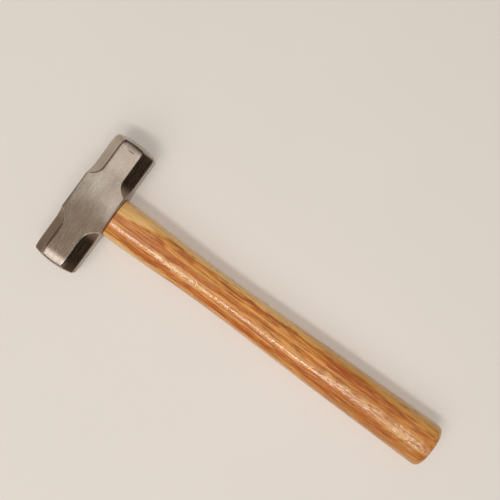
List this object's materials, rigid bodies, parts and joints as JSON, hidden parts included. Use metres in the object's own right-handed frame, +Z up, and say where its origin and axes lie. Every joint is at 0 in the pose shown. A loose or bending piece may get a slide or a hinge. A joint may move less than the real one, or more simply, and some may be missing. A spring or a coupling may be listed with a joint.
{
  "type": "double-faced hand hammer",
  "caption": "Hand hammer with a ground steel head, domed octagonal striking ends and an oval varnished wooden handle wedged in its eye.",
  "frame": {"origin": "on the resting plane, straight below the centre of the eye, with the hammer lying on its side", "axes": "+X along the handle to its butt, +Y along the head from one striking face to the other, +Z up through the side of the head"},
  "size_m": [0.363, 0.1208, 0.038],
  "materials": {
    "head_steel": "ground along the head to a satin grain, edges softened, a few dark specks and scratches",
    "handle_wood": "hickory with pale sapwood along one edge and red-brown streaks, under clear gloss varnish",
    "wedge_wood": "bare hardwood, trimmed flush",
    "wedge_steel": "dull rolled steel with hammer-marked heels"
  },
  "bodies": {
    "root": {"hammer_head": "head_steel", "handle": "handle_wood", "wooden_wedge": "wedge_wood", "steel_wedge_left": "wedge_steel", "steel_wedge_right": "wedge_steel"}
  },
  "joints": []
}
